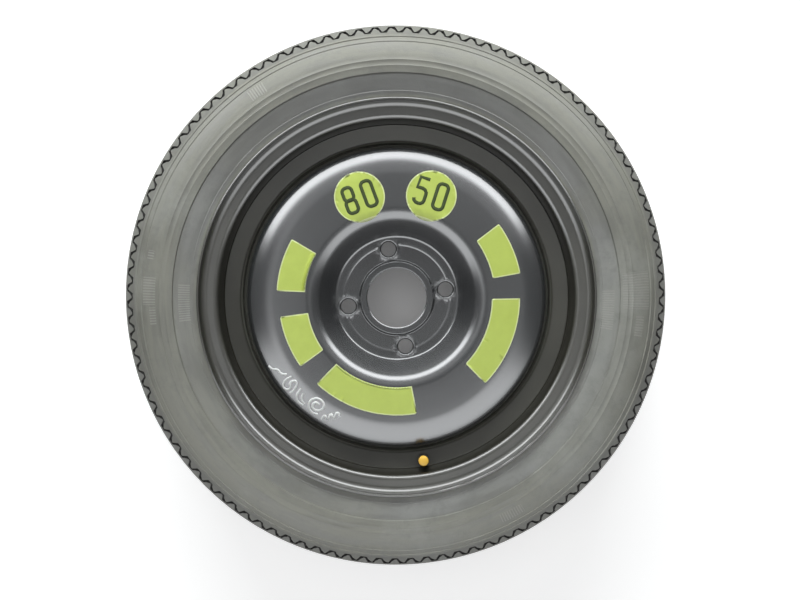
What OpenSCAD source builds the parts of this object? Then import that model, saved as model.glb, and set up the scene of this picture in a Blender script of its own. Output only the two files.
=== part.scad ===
// Temporary spare wheel: a narrow tyre on a pressed steel wheel with a drop-centre rim.
// The wheel lies flat with its outer face up. The origin is the centre of the hub bore,
// on the face that bolts to the hub, and Z is the axle.

/* [Tyre] */
// Outside diameter of the tyre
tyre_od = 581; // [575:0.5:595]
// Width across the sidewalls
tyre_w = 126; // [122:0.5:130]
// Width of the nearly flat part of the tread
tread_w = 72; // [68:0.5:74]
// Fall of the tread from its middle to the start of the shoulder
tread_drop = 1.7; // [1:0.1:2.5]
// Thickness of rubber and plies under the tread
tread_t = 12.5; // [10:0.5:14]
// Thickness of the sidewall
sidewall_t = 6.5; // [5:0.5:8]
// Width of the bead on its seat
bead_w = 14.5; // [12:0.5:16]
// Thickness of the bead over its seat
bead_t = 9; // [8:0.5:10]
// Distance from the bead seat out to the step in the sidewall
step_h = 41; // [38:0.5:43]
// Height of the step between the bead area and the sidewall
sidewall_step = 0.6; // [0.3:0.1:1]
// Distance from the bead seat out to the widest ring of the sidewall
wide_h = 58; // [55:0.5:61]
// Length of the shoulder, from the sidewall's end to the tyre's outside, measured along the radius
shoulder_h = 18.5; // [17:0.5:20]
// Depth of the round grooves
groove_depth = 4.5; // [3:0.1:6]
// Width of the round grooves
groove_w = 5; // [3:0.1:7]
// Distance between two round grooves
groove_pitch = 19; // [16:0.5:21]
// Number of round grooves
groove_count = 3; // [1:1:3]
// Number of zigzags round each shoulder
zigzag_count = 104; // [60:1:120]
// Width of the zigzag groove
zigzag_w = 1.6; // [1:0.1:2.4]
// Depth of the zigzag groove
zigzag_depth = 2.6; // [1.5:0.1:3.5]
// Distance across one zigzag, measured down the shoulder
zigzag_across = 10.6; // [8:0.1:11.5]

/* [Rim] */
// Diameter of the bead seats
rim_d = 380.2; // [378:0.1:383]
// Width between the flanges
rim_w = 101.6; // [99:0.1:104]
// Thickness of the rim sheet
rim_t = 2.6; // [2:0.1:3]
// Height of the flange over the bead seat
flange_h = 17.3; // [16:0.1:18]
// Radius of the curl at the top of the flange
curl_r = 9.5; // [8.5:0.1:10]
// Length of the lip past the curl
lip_l = 2; // [1:0.1:3]
// Radius between flange and bead seat
heel_r = 2.6; // [2:0.1:6.5]
// Slope of the bead seats in degrees
seat_slope = 5; // [4:0.5:6]
// Height of the safety hump over the end of the seat
hump_h = 1.8; // [1:0.1:2]
// Depth of the well below the bead seat
well_depth = 18.3; // [17.5:0.1:19]
// Distance from the front flange to the front wall of the well
well_from_flange = 26.4; // [25:0.1:28]
// Width of the well floor
well_w = 37; // [34:0.5:40]

/* [Disc] */
// Distance from the middle of the rim out to the hub face
offset_et = 18; // [14:0.5:22]
// Thickness of the disc sheet
disc_t = 4; // [3.4:0.1:4.6]
// Diameter of the hub bore
hub_bore_d = 65.1; // [60:0.1:68]
// Diameter of the bolt circle
bolt_circle_d = 108; // [106:0.1:110]
// Number of bolts
bolt_count = 4; // [3:1:5]
// Diameter of a bolt hole
bolt_hole_d = 16; // [14:0.1:17]
// Angle of the first bolt hole from the X axis
bolt_angle = 9.9; // [0:0.1:90]
// Radius of the raised boss round a bolt hole
boss_r = 11.5; // [11:0.1:12]
// Height of the bosses and of the lip round the bore over the hub pad
boss_h = 1.4; // [1:0.1:2]
// Width of the raised lip round the hub bore
bore_lip_w = 6.8; // [5:0.1:7.5]
// Depth of the coined channel between the bosses
channel_depth = 1; // [0.5:0.1:1.5]
// Outer radius of the coined channel
channel_r = 57; // [55:0.5:59]
// Radius where the hub pad meets the wall of the dish
pad_r = 67; // [66.5:0.5:70]
// Radius of the inner edge of the crown
crest_r = 88.5; // [86:0.5:91]
// Height of the crown over the hub face
crown_h = 29; // [26:0.5:32]
// Fall of the crown from its inner edge to where it bends
crown_drop = 1.3; // [0.5:0.1:3]
// Radius where the crown bends down to the shoulder
crown_bend_r = 144; // [142:0.5:146]
// Slope of the shoulder in degrees
shoulder_slope = 28; // [24:1:32]
// Radius of the corner between the shoulder and the side of the disc
shoulder_r = 160; // [158:0.5:161]
// Height of the front end of the skirt over the hub face
skirt_top_z = -4; // [-10:0.5:-3]
// Length of the straight skirt that sits in the rim
skirt_l = 20; // [14:0.5:22]
// Length of a weld bead, as an angle
weld_angle = 16; // [10:1:30]
// Leg of a weld bead
weld_leg = 3.2; // [2.5:0.1:3.5]
// Number of weld beads
weld_count = 8; // [4:1:12]

/* [Valve] */
// Angle of the valve from the X axis
valve_angle = 279.2; // [0:0.1:360]
// Lean of the valve towards the axle, which is also the slope of the front wall of the well
valve_lean = 13; // [10:0.5:14]
// Diameter of the hole in the rim
valve_hole_d = 11.3; // [11:0.1:11.6]
// Diameter of the rubber foot inside the tyre
foot_d = 13.6; // [13.2:0.1:14]
// Diameter of the rubber where it leaves the rim
rubber_d = 12.8; // [12.6:0.1:13.2]
// Height of the rubber over the rim
rubber_h = 14; // [12:0.5:16]
// Height of the brass stem over the rubber
stem_h = 10; // [9:0.5:11]
// Diameter of the threaded end of the stem
stem_d = 7.7; // [7.5:0.1:7.9]
// Diameter of the bore in the stem
stem_bore_d = 5.2; // [5:0.1:5.4]
// Diameter of the cap
cap_d = 10.6; // [10.2:0.1:11]
// Wall over the closed end of the cap
cap_end = 2; // [1.5:0.1:2.5]
// Number of grip flutes round the cap
flute_count = 16; // [8:1:20]
// Diameter of the pin of the valve core
pin_d = 1.5; // [1.3:0.1:1.6]
// Travel of the pin when it is pressed
pin_travel = 1.2; // [0.8:0.1:1.5]

/* [Labels] */
// Thickness of the vinyl labels
label_t = 0.3; // [0.2:0.05:0.5]
// Width of the long labels, from the inner to the outer edge
label_w = 30; // [26:0.5:32]
// Radius of the corners of the long labels
label_corner = 3; // [2:0.5:5]
// Diameter of the round labels
dot_d = 53.5; // [50:0.5:55]
// Distance from the axle to the middle of the round labels
dot_ring_r = 114; // [112:0.5:116]
// Distance from the axle to the inner edge of the long labels, on average
label_ring_r = 98; // [97:0.5:99]

/* [Hidden] */
$fn = 96;
// Turn and length of one straight piece of a rounded corner
arc_step = 9;
arc_piece = 5;
// Smallest radius that is left on the inside of a bend
least_r = 0.3;

// Rounded outlines. A corner is [x, y, radius], and a path is a list of corners.
function unit(v) = v / norm(v);
function flat(v) = [v[0], v[1]];
function left_of(v) = [-v[1], v[0]];
function turn(a, b, c) = cross(flat(b) - flat(a), flat(c) - flat(b));
// Half of the angle at corner b
function half_angle(a, b, c) =
    acos(max(-1, min(1, unit(flat(a) - flat(b)) * unit(flat(c) - flat(b))))) / 2;
// Length that the round at corner i takes from the straights beside it
function reach(path, i) = (i == 0 || i == len(path) - 1) ? 0
    : let (half = half_angle(path[i - 1], path[i], path[i + 1])) half > 89.5 ? 0 : path[i][2] / tan(half);
function straight(path, i) = norm(flat(path[i + 1]) - flat(path[i]));
// Two rounds that share a straight are both reduced where it is too short for them
function share(path, i) = 0.98 * straight(path, i) / max(0.001, reach(path, i) + reach(path, i + 1));
function eased(path) = let (last = len(path) - 1)
    [for (i = [0:last])
        let (least = reach(path, i) == 0 ? 0 : min(1, share(path, i - 1), share(path, i)))
        [path[i][0], path[i][1], path[i][2] * least]];
function round_corner(a, b, c) = b[2] <= 0 ? [flat(b)] :
    let (half = half_angle(a, b, c),
        u = unit(flat(a) - flat(b)),
        centre = flat(b) + unit(u + unit(flat(c) - flat(b))) * b[2] / sin(half),
        first = flat(b) + u * b[2] / tan(half) - centre,
        sweep = (180 - 2 * half) * sign(turn(a, b, c)),
        steps = max(1, ceil(abs(sweep) / arc_step), ceil(abs(sweep) * PI / 180 * b[2] / arc_piece)),
        start = atan2(first[1], first[0]))
    [for (i = [0:steps]) centre + b[2] * [cos(start + sweep * i / steps), sin(start + sweep * i / steps)]];
function rounded(corners) = let (path = eased(corners), last = len(path) - 1)
    [for (i = [0:last]) each (i == 0 || i == last) ? [flat(path[i])]
        : round_corner(path[i - 1], path[i], path[i + 1])];
function backwards(list) = [for (i = [len(list) - 1:-1:0]) list[i]];
function after_first(list) = [for (i = [1:len(list) - 1]) list[i]];

// The path that runs beside another one, gap to its left
function beside(corners, gap) = let (path = eased(corners), last = len(path) - 1)
    [for (i = [0:last])
        let (before = i == 0 ? unit(flat(path[1]) - flat(path[0])) : unit(flat(path[i]) - flat(path[i - 1])),
            after = i == last ? before : unit(flat(path[i + 1]) - flat(path[i])),
            n = left_of(before), m = left_of(after),
            corner = flat(path[i]) + (n + m) * gap / (1 + n * m),
            bend = i == 0 || i == last ? 0 : sign(cross(before, after)))
        [corner[0], corner[1], path[i][2] <= 0 ? 0 : max(least_r, path[i][2] - gap * bend)]];
function sheet(path, gap) = concat(rounded(path), backwards(rounded(beside(path, gap))));
function mirrored(path) = [for (p = path) [p[0], -p[1], p[2]]];

// Rim: the outline runs down its tyre side, measured from the middle of the rim
rim_r = rim_d / 2;
half_w = rim_w / 2;
flange_r = rim_r + flange_h;
lip_z = half_w + curl_r + lip_l;
function seat_r(z) = rim_r - (half_w - z) * tan(seat_slope);
// The hump lies between the seat and the wall of the well
hump_start = half_w - 16;
hump_len = 3.4;
hump_top = 2.6;
hump_r = seat_r(hump_start - hump_len) + hump_h;
well_r = rim_r - well_depth;
wall_z = half_w - well_from_flange;
wall_top_r = hump_r - 1.4;
wall_foot_z = wall_z - (wall_top_r - well_r) * tan(valve_lean);
// Where the back slope of the well ends, short of the hump behind it
back_hump_z = -(hump_start - hump_len - hump_top);
front_seat_path = [
    [flange_r, lip_z, 0],
    [flange_r, half_w, curl_r],
    [rim_r, half_w, heel_r],
    [seat_r(hump_start), hump_start, 4],
    [hump_r, hump_start - hump_len, 2.4],
    [hump_r, hump_start - hump_len - hump_top, 1.6]];
rim_path = concat(front_seat_path,
    [[wall_top_r, wall_z, 2.8], [well_r, wall_foot_z, 1.5],
    [well_r, wall_foot_z - well_w, 5], [wall_top_r, back_hump_z + 3, 5]],
    backwards(mirrored(front_seat_path)));

// Disc: the outline runs out along its front face, from the hub bore to the skirt
bore_r = hub_bore_d / 2;
pad_z = disc_t;
boss_z = pad_z + boss_h;
channel_z = pad_z - channel_depth;
lip_r = bore_r + bore_lip_w;
// Slope of the small steps on the hub pad, as run
step_run = 2.4;
dish_fillet = 4;
crest_fillet = 19.5;
bend_fillet = 55;
shoulder_fillet = 12;
skirt_fillet = 16;
skirt_r = well_r - rim_t;
skirt_end_z = skirt_top_z - skirt_l;
bend_z = crown_h - crown_drop;
shoulder_z = bend_z - (shoulder_r - crown_bend_r) * tan(shoulder_slope);
dish_path = [
    [channel_r + step_run, pad_z, 0],
    [pad_r, pad_z, dish_fillet],
    [crest_r, crown_h, crest_fillet],
    [crown_bend_r, bend_z, bend_fillet],
    [shoulder_r, shoulder_z, shoulder_fillet],
    [skirt_r, skirt_top_z, skirt_fillet],
    [skirt_r, skirt_end_z, 0]];
hub_front = rounded([
    [bore_r, boss_z - 0.8, 0],
    [bore_r + 1, boss_z, 0.8],
    [lip_r, boss_z, 1],
    [lip_r + step_run, channel_z, 1],
    [channel_r, channel_z, 1],
    [channel_r + step_run, pad_z, 0]]);
disc_outline = concat(hub_front, after_first(rounded(dish_path)),
    backwards(rounded(beside(dish_path, -disc_t))), [[bore_r, 0]]);
seat_depth = 2.5;
seat_half_angle = 30;
// Relief behind a bolt, where the disc stays clear of the hub
relief_depth = 0.8;
weld_z = skirt_end_z;

// Tyre: the outer outline of the front half runs from the toe of the bead to the tread
tyre_r = tyre_od / 2;
half_t = tyre_w / 2;
toe_z = half_w - bead_w;
heel_room = 0.6;
// Where the sidewall leaves the curl of the flange
leave_r = flange_r + 0.8;
leave_z = half_w + 0.72 * curl_r;
step_r = rim_r + step_h;
wide_r = rim_r + wide_h;
// The sidewall turns in to its shoulder at the foot, and the tread begins near the top
shoulder_in = 7.2;
shoulder_w = 9;
shoulder_drop = 4.5;
shoulder_foot = [tyre_r - shoulder_h, half_t - shoulder_in];
shoulder_top = [tyre_r - shoulder_drop, tread_w / 2 + shoulder_w];
tread_edge_r = tyre_r - tread_drop;
tyre_front = [
    [seat_r(toe_z) + 1.5, toe_z, 0],
    [seat_r(toe_z + 1.5), toe_z + 1.5, 0],
    [rim_r, half_w, heel_r + heel_room],
    [flange_r - 3.9, half_w, curl_r + 0.3],
    [leave_r, leave_z, 3],
    [step_r, half_t - sidewall_step - 0.4, 20],
    [step_r + 1, half_t, 0.6],
    [wide_r, half_t, 36],
    [shoulder_foot[0], shoulder_foot[1], 12],
    [shoulder_top[0], shoulder_top[1], 10],
    [tread_edge_r, tread_w / 2, 10]];
// The middle of the tread is straight, and rounds off from there to the shoulders
crown_path = [[tyre_r, tread_w / 5, 150], [tyre_r, -tread_w / 5, 150]];
tyre_outside = concat(tyre_front, crown_path, backwards(mirrored(tyre_front)));
// The inside runs back from one toe to the other
inner_wide_z = half_t - sidewall_t;
liner_r = tyre_r - tread_t;
tyre_inner_front = [
    [seat_r(toe_z) + 1.5, toe_z, 0],
    [rim_r + bead_t, toe_z + 1, 6],
    [rim_r + step_h / 2 + 1.5, inner_wide_z - 5.5, 14],
    [step_r + 3, inner_wide_z, 22],
    [wide_r + 6, inner_wide_z, 30],
    [liner_r - 7, tread_w / 2 + 7, 18],
    [liner_r - 1, tread_w / 2 - 9, 30]];
tyre_inside = concat(tyre_inner_front, [[liner_r, 0, 300]], backwards(mirrored(tyre_inner_front)));

// Zigzag groove: it runs in the flat of the shoulder, between its foot and its top
zigzag_mid = (shoulder_foot + shoulder_top) / 2;
shoulder_dir = unit(shoulder_top - shoulder_foot);
shoulder_out = left_of(shoulder_dir);
zigzag_rise = 3;
// Corners of the groove's line: share of one zigzag, side it lies on, and which way its mitre leans
zigzag_line = [[0, -1, 1], [0.3, -1, -1], [0.5, 1, -1], [0.8, 1, 1]];
zigzag_ramp = zigzag_mid[0] * 2 * PI / zigzag_count * 0.2;
// The groove keeps its width round the corners, so its sides have their corners a little apart
zigzag_mitre = zigzag_w / 2 * tan(atan(zigzag_across / zigzag_ramp) / 2) * 180 / PI / zigzag_mid[0];

// Valve: its own axis leans towards the axle and meets the wall of the well squarely
valve_r = (well_r + wall_top_r) / 2;
valve_z = wall_foot_z + (valve_r - well_r) * tan(valve_lean) + rim_t / cos(valve_lean) - offset_et;
hole_r = valve_hole_d / 2;
fit_gap = 0.05;
foot_h = 4;
neck_r = stem_d / 2 + 1;
stem_low_r = 3.1;
stem_top = rubber_h + stem_h;
stem_bottom = -rim_t - foot_h;
core_z = stem_top - 1;
core_thread_l = 5;
gasket_l = 3;
gasket_z = core_z - core_thread_l - gasket_l;
barrel_r = stem_bore_d / 2 - 0.05;
barrel_low_r = 1.35;
barrel_end = gasket_z - 3;
pin_r = pin_d / 2;
pin_top = stem_top - 0.3;
pin_head_r = 1.15;
pin_head_l = 0.8;
cup_r = 1.7;
cup_h = 1.6;
cup_seal_h = 0.8;
spring_wire = 0.4;
spring_turns = 4;
spring_r = 1.4;
spring_room_r = 1.75;
// The closed spring and the pin's travel fit under the head of the pin
spring_floor = pin_top - pin_head_l - 0.7 - (spring_turns + 1) * spring_wire - pin_travel;
cap_bottom = rubber_h + 0.4;
cap_top = stem_top + 0.5 + cap_end;
cap_inner_r = stem_d / 2 + 0.15;
flute_depth = 0.35;

// Labels: start angle, end angle, and inner edge as a share of the ring's radius. They were stuck on by hand.
upper_right = [10.2, 37.6, 1.055];
upper_left = [149.2, 177.8, 0.996];
lower_left = [187.5, 216.6, 0.973];
bottom = [225.2, 281.2, 0.965];
lower_right = [314.6, 361.4, 1.024];
round_left_angle = 110.4;
round_right_angle = 71.6;

module revolve(outline) {
    rotate_extrude($fn = 180) polygon(outline);
}

module from_middle() {
    translate([0, 0, -offset_et]) children();
}

module round_groove(z) {
    translate([0, 0, z - groove_w / 2])
        difference() {
            cylinder(h = groove_w, r = tyre_r + 5);
            translate([0, 0, -1]) cylinder(h = groove_w + 2, r = tyre_r - groove_depth);
        }
}

// One closed ring that follows the zigzag, four corners at each of its points
function zigzag_point(angle, along, out) =
    let (p = zigzag_mid + shoulder_dir * along + shoulder_out * out)
    [p[0] * cos(angle), p[0] * sin(angle), p[1]];

module zigzag_groove() {
    corners = len(zigzag_line);
    count = zigzag_count * corners;
    points = [for (i = [0:count - 1])
        let (c = zigzag_line[i % corners],
            angle = (floor(i / corners) + c[0]) * 360 / zigzag_count,
            lean = c[2] * zigzag_mitre,
            low = c[1] * zigzag_across / 2 - zigzag_w / 2,
            high = low + zigzag_w)
        each [zigzag_point(angle - lean, low, -zigzag_depth),
            zigzag_point(angle + lean, high, -zigzag_depth),
            zigzag_point(angle + lean, high, zigzag_rise),
            zigzag_point(angle - lean, low, zigzag_rise)]];
    faces = [for (i = [0:count - 1], k = [0:3])
        let (j = (i + 1) % count, m = (k + 1) % 4)
        each [[4 * i + k, 4 * i + m, 4 * j + m], [4 * i + k, 4 * j + m, 4 * j + k]]];
    polyhedron(points, faces);
}

module tyre() {
    color("#7d7d76")
        from_middle()
            difference() {
                revolve(concat(rounded(tyre_outside), backwards(rounded(tyre_inside))));
                for (i = [0:groove_count - 1])
                    round_groove((i - (groove_count - 1) / 2) * groove_pitch);
                zigzag_groove();
                mirror([0, 0, 1]) zigzag_groove();
            }
}

module at_valve() {
    rotate([0, 0, valve_angle])
        translate([valve_r, 0, valve_z])
            rotate([0, -valve_lean, 0])
                children();
}

module rim() {
    color("#232425")
        difference() {
            from_middle() revolve(sheet(rim_path, -rim_t));
            at_valve() translate([0, 0, -rim_t - 2]) cylinder(h = rim_t + 4, r = hole_r);
        }
}

module at_bolts() {
    for (i = [0:bolt_count - 1])
        rotate([0, 0, bolt_angle + i * 360 / bolt_count])
            translate([bolt_circle_d / 2, 0, 0])
                children();
}

module wheel_disc() {
    hole = bolt_hole_d / 2;
    color("#1f2021")
        difference() {
            union() {
                revolve(disc_outline);
                at_bolts() {
                    translate([0, 0, relief_depth]) cylinder(h = boss_z - relief_depth - 0.6, r = boss_r);
                    translate([0, 0, boss_z - 0.6]) cylinder(h = 0.6, r1 = boss_r, r2 = boss_r - 0.6);
                }
            }
            at_bolts() {
                translate([0, 0, -1]) cylinder(h = boss_z + 2, r = hole);
                translate([0, 0, boss_z - seat_depth])
                    cylinder(h = seat_depth + 1, r1 = hole,
                        r2 = hole + (seat_depth + 1) * tan(seat_half_angle));
                translate([0, 0, -1]) cylinder(h = relief_depth + 1, r = boss_r - 1);
            }
        }
}

module weld_beads() {
    bead = [[skirt_r, weld_z], [skirt_r - weld_leg, weld_z], [skirt_r, weld_z - weld_leg]];
    color("#2b2b2b")
        for (i = [0:weld_count - 1])
            rotate([0, 0, i * 360 / weld_count])
                rotate_extrude(angle = weld_angle, $fn = 180) polygon(bead);
}

module valve_body() {
    neck = hole_r - fit_gap;
    outline = [
        [stem_low_r, -rim_t - foot_h + 0.5],
        [foot_d / 2 - 2.4, -rim_t - foot_h],
        [foot_d / 2 - 0.6, -rim_t - 1.6],
        [foot_d / 2, -rim_t - 0.8],
        [foot_d / 2, -rim_t],
        [neck, -rim_t],
        [neck, fit_gap],
        [rubber_d / 2, fit_gap],
        [rubber_d / 2, 1.4],
        [rubber_d / 2 - 0.8, 3.2],
        [neck_r, rubber_h - 1],
        [neck_r - 0.5, rubber_h],
        [stem_low_r, rubber_h]];
    color("#1a1a1a") at_valve() rotate_extrude() polygon(outline);
}

module valve_stem() {
    outline = [
        [barrel_low_r + 0.6, stem_bottom],
        [stem_low_r, stem_bottom],
        [stem_low_r, rubber_h],
        [stem_d / 2, rubber_h],
        [stem_d / 2, stem_top - 0.5],
        [stem_d / 2 - 0.5, stem_top],
        [stem_bore_d / 2, stem_top],
        [stem_bore_d / 2, gasket_z + gasket_l],
        [barrel_low_r + 0.6, gasket_z]];
    color("#b08d3c") at_valve() rotate_extrude() polygon(outline);
}

module core_barrel() {
    outline = [
        [pin_r + fit_gap, barrel_end],
        [barrel_low_r, barrel_end],
        [barrel_low_r, gasket_z + gasket_l],
        [barrel_r, gasket_z + gasket_l],
        [barrel_r, core_z],
        [spring_room_r, core_z],
        [spring_room_r, spring_floor],
        [pin_r + fit_gap, spring_floor]];
    color("#b9963f") at_valve() rotate_extrude() polygon(outline);
}

module core_gasket() {
    outline = [
        [barrel_low_r, gasket_z + 0.2],
        [barrel_low_r + 0.6, gasket_z + 0.2],
        [stem_bore_d / 2 - 0.1, gasket_z + gasket_l - 0.1],
        [barrel_low_r, gasket_z + gasket_l - 0.1]];
    color("#d8d8d0") at_valve() rotate_extrude() polygon(outline);
}

module core_pin() {
    cup_top = barrel_end - 0.3;
    outline = [
        [0, cup_top - cup_h],
        [cup_r, cup_top - cup_h],
        [cup_r, cup_top - cup_seal_h],
        [pin_r, cup_top - cup_seal_h],
        [pin_r, pin_top - pin_head_l - 0.6],
        [pin_head_r, pin_top - pin_head_l],
        [pin_head_r, pin_top - 0.2],
        [pin_head_r - 0.3, pin_top],
        [0, pin_top]];
    color("#c0a050") at_valve() rotate_extrude() polygon(outline);
}

module core_cup_seal() {
    seal_top = barrel_end - 0.3;
    color("#202020")
        at_valve()
            translate([0, 0, seal_top - cup_seal_h])
                difference() {
                    cylinder(h = cup_seal_h, r = cup_r);
                    translate([0, 0, -1]) cylinder(h = cup_seal_h + 2, r = pin_r);
                }
}

// Wire of the spring: a ring of six corners at each step of the coil
module core_spring() {
    steps = 12;
    sides = 6;
    bottom_z = spring_floor + spring_wire / 2 + 0.05;
    top_z = pin_top - pin_head_l - 0.6 - spring_wire / 2;
    count = spring_turns * steps;
    points = [for (i = [0:count], k = [0:sides - 1])
        let (a = 360 * i / steps, b = 360 * k / sides, r = spring_r - 0.25 + spring_wire / 2 * cos(b))
        [r * cos(a), r * sin(a), bottom_z + (top_z - bottom_z) * i / count + spring_wire / 2 * sin(b)]];
    walls = [for (i = [0:count - 1], k = [0:sides - 1])
        let (m = (k + 1) % sides, n = i * sides)
        each [[n + k, n + m, n + sides + m], [n + k, n + sides + m, n + sides + k]]];
    ends = [[for (k = [sides - 1:-1:0]) k], [for (k = [0:sides - 1]) count * sides + k]];
    color("#c8c8c8") at_valve() polyhedron(points, concat(walls, ends));
}

module valve_cap() {
    color("#e8b62c")
        at_valve()
            difference() {
                union() {
                    translate([0, 0, cap_bottom]) cylinder(h = cap_top - cap_bottom - 0.8, r = cap_d / 2);
                    translate([0, 0, cap_top - 0.8]) cylinder(h = 0.8, r1 = cap_d / 2, r2 = cap_d / 2 - 0.8);
                }
                translate([0, 0, cap_bottom - 1])
                    cylinder(h = stem_top + 0.5 - cap_bottom + 1, r = cap_inner_r);
                for (i = [0:flute_count - 1])
                    rotate([0, 0, i * 360 / flute_count])
                        translate([cap_d / 2 + 0.5, 0, cap_bottom - 1])
                            cylinder(h = cap_top - cap_bottom - 1, r = flute_depth + 0.5, $fn = 24);
            }
}

// A thin layer that lies on the front of the disc, from its hub pad to its outer edge
module disc_skin() {
    low = rounded(dish_path);
    high = rounded(beside(dish_path, label_t));
    revolve(concat(high, backwards(low)));
}

module label_sector(place) {
    inner = place[2] * label_ring_r;
    outer = inner + label_w;
    c = label_corner;
    span = place[1] - place[0];
    steps = ceil(span / 4);
    out_skip = asin(c / (outer - c));
    in_skip = asin(c / (inner + c));
    outer_arc = [for (i = [0:steps])
        let (a = place[0] + out_skip + (span - 2 * out_skip) * i / steps) outer * [cos(a), sin(a)]];
    inner_arc = [for (i = [steps:-1:0])
        let (a = place[0] + in_skip + (span - 2 * in_skip) * i / steps) inner * [cos(a), sin(a)]];
    color("#b9cc55")
        intersection() {
            disc_skin();
            linear_extrude(height = crown_h + 10) polygon(concat(outer_arc, inner_arc));
        }
}

module label_dot(angle) {
    color("#bcd060")
        intersection() {
            disc_skin();
            rotate([0, 0, angle])
                translate([dot_ring_r, 0, 0])
                    cylinder(h = crown_h + 10, r = dot_d / 2);
        }
}

tyre();
rim();
wheel_disc();
weld_beads();
valve_body();
valve_stem();
core_barrel();
core_gasket();
core_pin();
core_cup_seal();
core_spring();
valve_cap();
label_dot(round_left_angle);  // label_round_left
label_dot(round_right_angle);  // label_round_right
label_sector(upper_right);  // label_upper_right
label_sector(upper_left);  // label_upper_left
label_sector(lower_left);  // label_lower_left
label_sector(bottom);  // label_bottom
label_sector(lower_right);  // label_lower_right
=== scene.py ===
"""Looks of the temporary spare wheel: studio, camera, and every piece with its finish."""

import math
import bpy
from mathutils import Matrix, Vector


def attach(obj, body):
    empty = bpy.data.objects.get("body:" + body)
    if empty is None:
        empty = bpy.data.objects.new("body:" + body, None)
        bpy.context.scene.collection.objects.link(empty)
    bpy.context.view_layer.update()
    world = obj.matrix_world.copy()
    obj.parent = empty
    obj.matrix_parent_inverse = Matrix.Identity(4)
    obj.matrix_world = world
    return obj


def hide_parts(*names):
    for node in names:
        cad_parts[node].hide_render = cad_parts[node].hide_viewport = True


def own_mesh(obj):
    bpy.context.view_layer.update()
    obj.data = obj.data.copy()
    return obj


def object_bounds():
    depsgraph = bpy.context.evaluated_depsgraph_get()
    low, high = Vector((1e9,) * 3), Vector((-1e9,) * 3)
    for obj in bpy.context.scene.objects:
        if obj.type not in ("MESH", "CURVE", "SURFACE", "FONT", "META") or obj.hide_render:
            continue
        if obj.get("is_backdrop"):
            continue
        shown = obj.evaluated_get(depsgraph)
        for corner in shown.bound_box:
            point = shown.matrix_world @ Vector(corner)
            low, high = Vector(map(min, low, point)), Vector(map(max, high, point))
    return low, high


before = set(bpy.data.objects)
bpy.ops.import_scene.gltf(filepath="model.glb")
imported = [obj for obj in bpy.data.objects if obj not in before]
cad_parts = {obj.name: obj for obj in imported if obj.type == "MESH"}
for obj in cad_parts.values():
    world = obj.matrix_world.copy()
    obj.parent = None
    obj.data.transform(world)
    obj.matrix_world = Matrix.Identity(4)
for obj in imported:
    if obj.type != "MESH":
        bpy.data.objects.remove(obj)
cad_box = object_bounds()
scene = bpy.context.scene
scene.view_settings.view_transform = "Standard"

# ---- Camera ----
# It hangs over the wheel, a little towards the upper left, and looks at the axle at the height of the tyre's face.
# The lens and its shift give the photograph's frame.
AIM = Vector((0, 0, 0.0443))
LEAN = (math.radians(-1.66), math.radians(-0.8))
CAMERA_HEIGHT = 0.65
bpy.ops.object.camera_add(rotation=(LEAN[0], LEAN[1], 0))
camera = bpy.context.object
camera.location = AIM + CAMERA_HEIGHT * (camera.rotation_euler.to_matrix() @ Vector((0, 0, 1)))
camera.data.lens = 28.32
camera.data.shift_x = 0.0032
camera.data.shift_y = -0.0014
scene.camera = camera


# ---- Studio ----
# A white paper floor, even air and two soft lamps light the wheel. A dome round it stands for the room,
# and only glossy faces mirror it.
FLOOR_Z = -0.081
FLOOR_GAP = 0.0002
FLOOR_SIZE = 6
PAPER = 0.82


def new_material(name):
    """A material with its node tree, its Principled shader and its output."""
    made = bpy.data.materials.new(name)
    made.use_nodes = True
    return made, made.node_tree, made.node_tree.nodes["Principled BSDF"]


def put(tree, kind, **settings):
    """A node of that kind. A setting that names an input gives its value, or the socket that feeds it."""
    node = tree.nodes.new(kind)
    inputs = {}
    for key, value in settings.items():
        if hasattr(node, key):
            setattr(node, key, value)
        else:
            inputs[key] = value
    for key, value in inputs.items():
        socket = node.inputs[int(key[1:])] if key[1:].isdigit() else node.inputs[key.replace("_", " ")]
        if isinstance(value, bpy.types.NodeSocket):
            tree.links.new(value, socket)
        else:
            socket.default_value = value
    return node


def math_node(tree, operation, *values, clamp=False):
    """The result of one Math node."""
    node = put(tree, "ShaderNodeMath", operation=operation, use_clamp=clamp)
    for socket, value in zip(node.inputs, values):
        if isinstance(value, bpy.types.NodeSocket):
            tree.links.new(value, socket)
        else:
            socket.default_value = value
    return node.outputs[0]


def ramp(tree, value, *stops):
    """A smooth step from stop to stop. A stop is (position, level)."""
    node = put(tree, "ShaderNodeMapRange", interpolation_type="SMOOTHSTEP", i0=value)
    for socket, number in zip(node.inputs[1:5], (stops[0][0], stops[1][0], stops[0][1], stops[1][1])):
        socket.default_value = number
    return node.outputs[0]


def mix(tree, share, first, second):
    """One colour blended into another."""
    node = put(tree, "ShaderNodeMix", data_type="RGBA")
    for socket, value in ((node.inputs[0], share), (node.inputs[6], first), (node.inputs[7], second)):
        if isinstance(value, bpy.types.NodeSocket):
            tree.links.new(value, socket)
        else:
            socket.default_value = value
    return node.outputs[2]


def seen_directly(tree):
    """One for rays from the camera, off gloss or through glass, and nought for the light that falls on the wheel."""
    rays = put(tree, "ShaderNodeLightPath")
    seen = math_node(tree, "MAXIMUM", rays.outputs["Is Camera Ray"], rays.outputs["Is Glossy Ray"])
    return math_node(tree, "MAXIMUM", seen, rays.outputs["Is Transmission Ray"])


def only(piece):
    """Selects this piece and nothing else."""
    bpy.ops.object.select_all(action="DESELECT")
    piece.select_set(True)
    bpy.context.view_layer.objects.active = piece


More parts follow.
